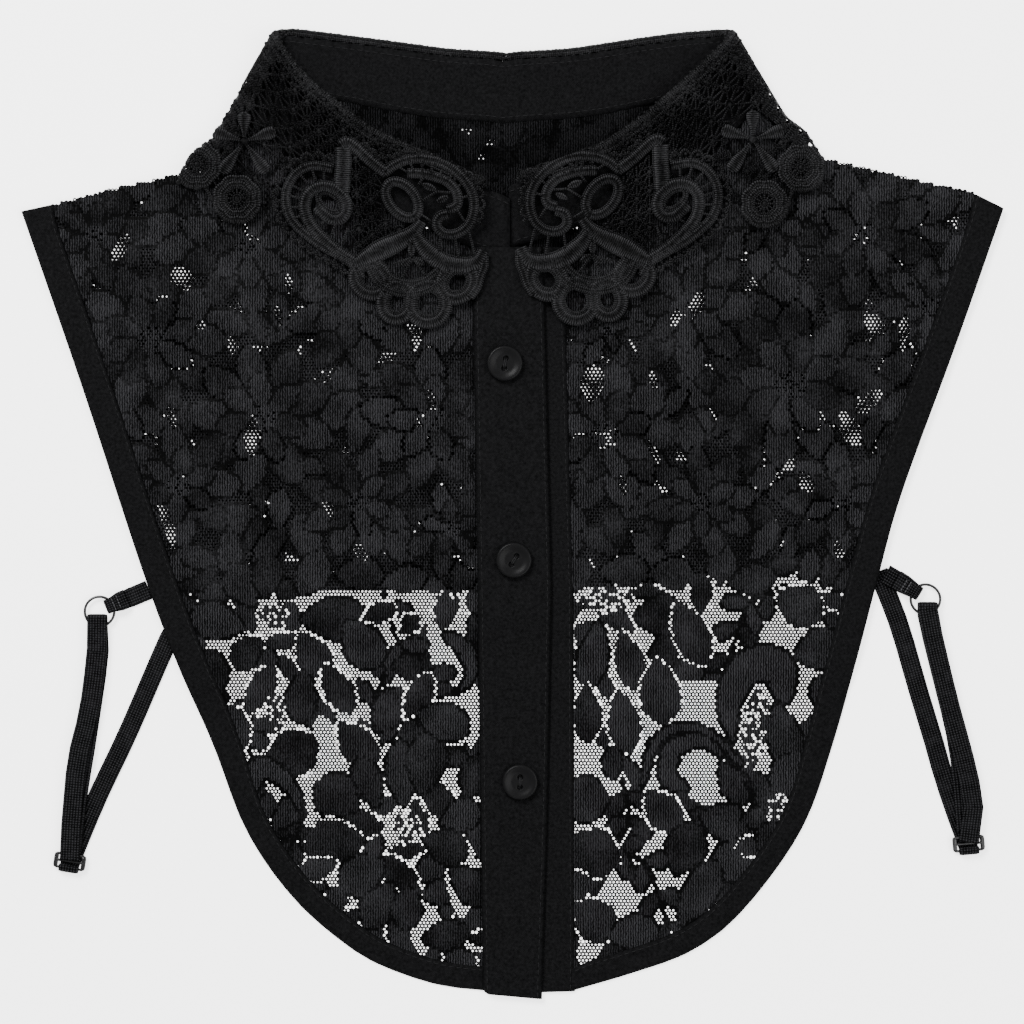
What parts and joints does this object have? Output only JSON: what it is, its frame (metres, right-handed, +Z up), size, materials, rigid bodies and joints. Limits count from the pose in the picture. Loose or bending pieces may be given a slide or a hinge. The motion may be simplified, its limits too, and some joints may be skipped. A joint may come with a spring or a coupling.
{
  "type": "lace collar",
  "caption": "Detachable half-shirt collar of floral net lace with an openwork folded collar, a button front, bound edges and elastic side loops, laid flat.",
  "frame": {"origin": "on the surface it lies on, under the middle of the piece's bounding box", "axes": "+X to the viewer's right seen from above, +Y from the hem to the collar, +Z up from the surface"},
  "size_m": [0.3528, 0.3492, 0.0113],
  "materials": {
    "lace": "matt net with a light sheen on its ribs",
    "woven_cotton": "matt plain weave",
    "guipure": "satin stitched thread",
    "elastic": "matt woven elastic",
    "button_plastic": "gloss",
    "coated_metal": "satin"
  },
  "bodies": {
    "root": {"front_left": "lace", "front_right": "lace", "back_panel": "lace", "leaf_left": "guipure", "leaf_right": "guipure", "collar_stand": "woven_cotton", "placket_top": "woven_cotton", "placket_under": "woven_cotton", "binding_front_left": "woven_cotton", "binding_front_right": "woven_cotton", "binding_back_left": "woven_cotton", "binding_back_right": "woven_cotton", "button_1": "button_plastic", "button_2": "button_plastic", "button_3": "button_plastic", "strap_left_front": "elastic", "strap_left_loop": "elastic", "strap_right_front": "elastic", "strap_right_loop": "elastic", "tab_left": "elastic", "tab_right": "elastic", "ring_left": "coated_metal", "ring_right": "coated_metal", "slider_left": "coated_metal", "slider_right": "coated_metal"}
  },
  "joints": []
}
